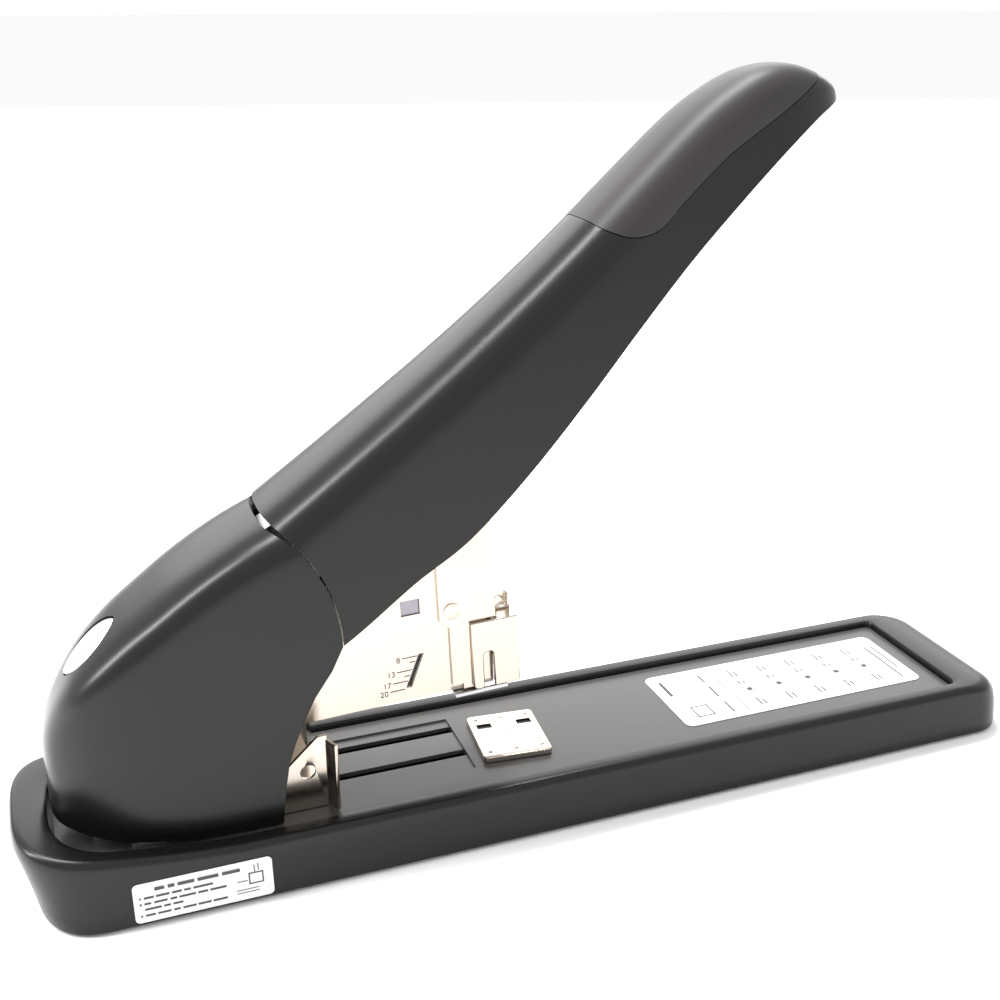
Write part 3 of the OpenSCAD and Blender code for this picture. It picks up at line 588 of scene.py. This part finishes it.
def add_bar(bm, place, x, y, long, high):
    """A thin printed bar from x, y in a label's own plane."""
    size = Matrix.Diagonal((long * MM, high * MM, 0.04 * MM, 1))
    at = Matrix.Translation(Vector((x + long / 2, y + high / 2, 0)) * MM)
    bmesh.ops.create_cube(bm, size=1, matrix=place @ at @ size)


low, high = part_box("deck_label")
deck_place = Matrix.Translation((0, 0, high[2]))
bm = bmesh.new()
for k, x in enumerate((84, 97, 110, 123, 136)):
    for dx, dy, long, tall in ((0, 0, 4.6, 0.3), (0, 4.3, 4.6, 0.3), (0, 0, 0.3, 4.6), (4.3, 0, 0.3, 4.6)):
        add_bar(bm, deck_place, x + dx, -3.4 + dy, long, tall)
    add_bar(bm, deck_place, x + 1.2, -2.2, 2.2, 2.2)
    for y, tall in ((3.4, 2.6), (9, 5.2), (-13, 5.4)):
        add_bar(bm, deck_place, x + 0.6, y, 0.7, tall)
        add_bar(bm, deck_place, x + 2.6, y, 0.7, tall * 0.7)
for x, y, long, tall in ((78, -15, 0.4, 11), (78, 1, 0.4, 15), (72, -14, 0.8, 8),
                         (72, -2, 0.8, 8), (72, 9, 0.8, 6), (147, -14, 0.8, 26),
                         (150, -6, 0.7, 18), (55, 4, 1.4, 11)):
    add_bar(bm, deck_place, x, y, long, tall)
for x, y, long, tall in ((58, -13, 7, 0.6), (58, -6, 7, 0.6), (58, -13, 0.6, 7), (64.4, -13, 0.6, 7.6)):
    add_bar(bm, deck_place, x, y, long, tall)
deck_print = make_object("deck_print", bm, 30)
low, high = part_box("side_label")
lean = math.atan2(high[1] - low[1] - 0.0004, high[2] - low[2])
side_place = (Matrix.Translation((low[0], low[1] - PRINT_OUT * MM, low[2]))
              @ Matrix.Rotation(math.radians(90) - lean, 4, "X"))
bm = bmesh.new()
for y, bars in ((10.2, ((6.5, 3), (10.5, 2), (13.5, 5), (19.5, 6.4), (27, 5.5))),
                (7.9, ((1.7, 0.6), (3.1, 3), (6.8, 4), (11.5, 3), (15.2, 2), (18, 6))),
                (5.9, ((1.7, 0.6), (3.1, 2), (6, 4), (10.9, 2), (13.6, 5), (19.3, 3), (23, 5))),
                (4.0, ((3.1, 5), (8.8, 2), (11.6, 3))),
                (1.9, ((1.7, 0.6), (3.1, 3), (6.8, 4), (11.6, 2), (14.4, 4), (19, 4), (23.6, 4.4)))):
    for x, long in bars:
        add_bar(bm, side_place, x, y, long, 1.1 if y > 10 else 0.7)
for x, y, long, tall in ((31, 3.4, 7, 0.25), (31, 2.4, 7, 0.25), (31.4, 6.4, 3.2, 0.25), (35, 5, 4.6, 0.4),
                         (35, 8.6, 4.6, 0.4), (35, 5, 0.4, 4), (39.2, 5, 0.4, 4),
                         (36.8, 9, 0.3, 2.6), (38, 9.6, 0.3, 2.2)):
    add_bar(bm, side_place, x, y, long, tall)
side_print = make_object("side_print", bm, 30)
for piece in (deck_print, side_print):
    piece.data.materials.append(mark_ink)
    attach(piece, "base")

# ---- Scale numbers ------------------------------------------------------
# The leg lengths 8 to 20 are engraved beside the slot in the near side plate.
HEAD_PIN, HEAD_PITCH = Vector((-150, 0, 26)), 2.4
TOP_MARK, SLOT_LEAN = 57.1, 0.424
low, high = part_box("leg_scale")
pitched = (Matrix.Translation(HEAD_PIN * MM) @ Matrix.Rotation(math.radians(-HEAD_PITCH), 4, "Y")
           @ Matrix.Translation(-HEAD_PIN * MM))
for value, z in (("8", TOP_MARK), ("13", 52.3), ("17", 48.4), ("20", 45.5)):
    curve = bpy.data.curves.new("number_" + value, "FONT")
    curve.body = value
    curve.size = 2.9 * MM
    curve.extrude = 0.02 * MM
    curve.align_x = "RIGHT"
    flat = bpy.data.objects.new("flat_" + value, curve)
    bpy.context.scene.collection.objects.link(flat)
    bpy.context.view_layer.update()
    mesh = bpy.data.meshes.new_from_object(flat.evaluated_get(bpy.context.evaluated_depsgraph_get()))
    bpy.data.objects.remove(flat)
    spot = Vector((-52.7 - (TOP_MARK - z) * SLOT_LEAN, low[1] / MM, z - 1.2)) * MM
    mesh.transform(pitched @ Matrix.Translation(spot) @ Matrix.Rotation(math.radians(90), 4, "X"))
    number = bpy.data.objects.new("number_" + value, mesh)
    bpy.context.scene.collection.objects.link(number)
    number.data.materials.append(mark_ink)
    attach(number, "head")

# ---- Anvil plate --------------------------------------------------------
# A small nickel-plated square on one rivet, turned by hand. Two pockets are stamped in
# it: each is deep at its far end, whose cut faces are painted dark as painted shade, and runs out as a
# shallow trough towards its near edge.
ANVIL_L, ANVIL_W, ANVIL_TURN = 24.8, 28.2, 5.2
low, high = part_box("anvil_plate")
middle = Matrix.Translation(((low[0] + high[0]) / 2, (low[1] + high[1]) / 2, high[2]))
middle = middle @ Matrix.Rotation(math.radians(-ANVIL_TURN), 4, "Z")
thick = (high[2] - low[2]) / MM
bm = bmesh.new()
bmesh.ops.create_cube(bm, size=1,
                      matrix=middle @ Matrix.Diagonal((ANVIL_L * MM, ANVIL_W * MM, thick * MM, 1)))
bmesh.ops.translate(bm, verts=bm.verts, vec=(0, 0, -thick / 2 * MM))
bmesh.ops.bevel(bm, geom=[e for e in bm.edges if abs(e.verts[0].co.z - e.verts[1].co.z) > 0.1 * MM],
                offset=1.8 * MM, offset_type="OFFSET", segments=5, profile=0.5, affect="EDGES", material=-1)
bmesh.ops.bevel(bm, geom=[e for e in bm.edges if min(v.co.z for v in e.verts) > high[2] - 0.01 * MM],
                offset=0.35 * MM, offset_type="OFFSET", segments=3, profile=0.5, affect="EDGES", material=-1)
anvil = make_object("stamped_anvil", bm, 35)
anvil.data.materials.append(nickel)
# The deep end of each pocket gets this dark steel on its cut faces. It is painted shade in the recess, not a
# darker metal.
pocket_painted_shade = finish_with_grain(new_material("painted_pocket_shade", (0.1, 0.095, 0.09), 0.4, 1.0),
                                 0.0004, 0.08, 0.4, 0.1)
for x in (-7.4, 7.4):
    bm = bmesh.new()
    bmesh.ops.create_cube(bm, size=1, matrix=middle @ Matrix.Translation(Vector((x, 6.4, 0)) * MM)
                          @ Matrix.Diagonal((5.4 * MM, 3 * MM, 1.7 * MM, 1)))
    deep = make_object("deep_tool", bm)
    deep.data.materials.append(pocket_painted_shade)
    cut_by(anvil, deep)
    bpy.data.objects.remove(deep)
    bm = bmesh.new()
    bmesh.ops.create_cube(bm, size=1, matrix=middle @ Matrix.Translation(Vector((x + 0.8, -1.2, 0.46)) * MM)
                          @ Matrix.Rotation(math.radians(4.2), 4, "X")
                          @ Matrix.Diagonal((3.4 * MM, 13.4 * MM, 1.6 * MM, 1)))
    bmesh.ops.bevel(bm, geom=list(bm.edges), offset=0.6 * MM, offset_type="OFFSET", segments=3,
                    profile=0.5, affect="EDGES", material=-1)
    trough = make_object("trough_tool", bm)
    trough.data.materials.append(nickel)
    cut_by(anvil, trough)
    bpy.data.objects.remove(trough)
for x, y in ((0, 10.6), (0, -10.6), (0, 0), (-9.5, -10.6), (9.5, -10.6), (-9.5, 10.8), (9.5, 10.8)):
    bm = bmesh.new()
    bmesh.ops.create_uvsphere(bm, u_segments=20, v_segments=12, radius=0.95 * MM,
                              matrix=middle @ Matrix.Translation(Vector((x, y, 0.45)) * MM))
    dot = make_object("dot_tool", bm)
    dot.data.materials.append(nickel)
    cut_by(anvil, dot)
    bpy.data.objects.remove(dot)
anvil.data.shade_smooth()
anvil.data.set_sharp_from_angle(angle=math.radians(35))
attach(anvil, "anvil")
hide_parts("anvil_plate")

# ---- Camera -------------------------------------------------------------
# A plain lens looks from the near side, a little from the rear and from above.
azimuth = math.radians(-20.416)
elevation = math.radians(21.371)
back = Vector((math.sin(azimuth) * math.cos(elevation),
               -math.cos(azimuth) * math.cos(elevation), math.sin(elevation)))
right = Vector((math.cos(azimuth), math.sin(azimuth), 0))
up = back.cross(right)
camera_data = bpy.data.cameras.new("camera")
camera_data.lens = 45.9
camera_data.sensor_width = 36
camera = bpy.data.objects.new("camera", camera_data)
bpy.context.scene.collection.objects.link(camera)
place = back * 0.470122 - right * 0.014636 + up * 0.100279
turn = Matrix((right, up, back)).transposed().to_4x4()
camera.matrix_world = (Matrix.Translation(place) @ turn
                       @ Matrix.Rotation(math.radians(-0.123), 4, "Z"))
bpy.context.scene.camera = camera

# ---- Studio -------------------------------------------------------------
# A plain pale floor under a pale surround, with two soft strips above and behind the
# stapler and a wide soft light beyond it.
bm = bmesh.new()
bmesh.ops.create_grid(bm, x_segments=1, y_segments=1, size=30)
floor = make_object("floor", bm)
floor.data.materials.append(new_material("pale_floor", (0.95, 0.95, 0.945), 0.9))

bpy.context.scene.view_settings.view_transform = "Standard"
world = bpy.data.worlds.new("studio")
bpy.context.scene.world = world
world.use_nodes = True
sky = world.node_tree
ground = sky.nodes["Background"]
ground.inputs["Color"].default_value = (1, 1, 1, 1)
ground.inputs["Strength"].default_value = 1.0
seen = sky.nodes.new("ShaderNodeBackground")
seen.inputs["Color"].default_value = (1, 1, 1, 1)
seen.inputs["Strength"].default_value = 1.05
ray = sky.nodes.new("ShaderNodeLightPath")
mix = sky.nodes.new("ShaderNodeMixShader")
sky.links.new(ray.outputs["Is Camera Ray"], mix.inputs["Fac"])
sky.links.new(ground.outputs["Background"], mix.inputs[1])
sky.links.new(seen.outputs["Background"], mix.inputs[2])
sky.links.new(mix.outputs["Shader"], sky.nodes["World Output"].inputs["Surface"])

for name, spot, aim, size, power in [
        ("overhead", (-0.1, 0.35, 1.1), (0, 0, 0.1), (1.0, 0.2), 16),
        ("rear_strip", (-0.95, 0.1, 0.75), (-0.05, 0, 0.12), (0.14, 0.9), 12),
        ("far_card", (0.7, 2.6, 1.35), (0, 0, 0.05), (5, 1.4), 46)]:
    lamp = bpy.data.lights.new(name, "AREA")
    lamp.shape = "RECTANGLE"
    lamp.size, lamp.size_y = size
    lamp.energy = power
    lit = bpy.data.objects.new(name, lamp)
    lit.location = spot
    lit.rotation_euler = (Vector(aim) - Vector(spot)).to_track_quat("-Z", "Y").to_euler()
    bpy.context.scene.collection.objects.link(lit)
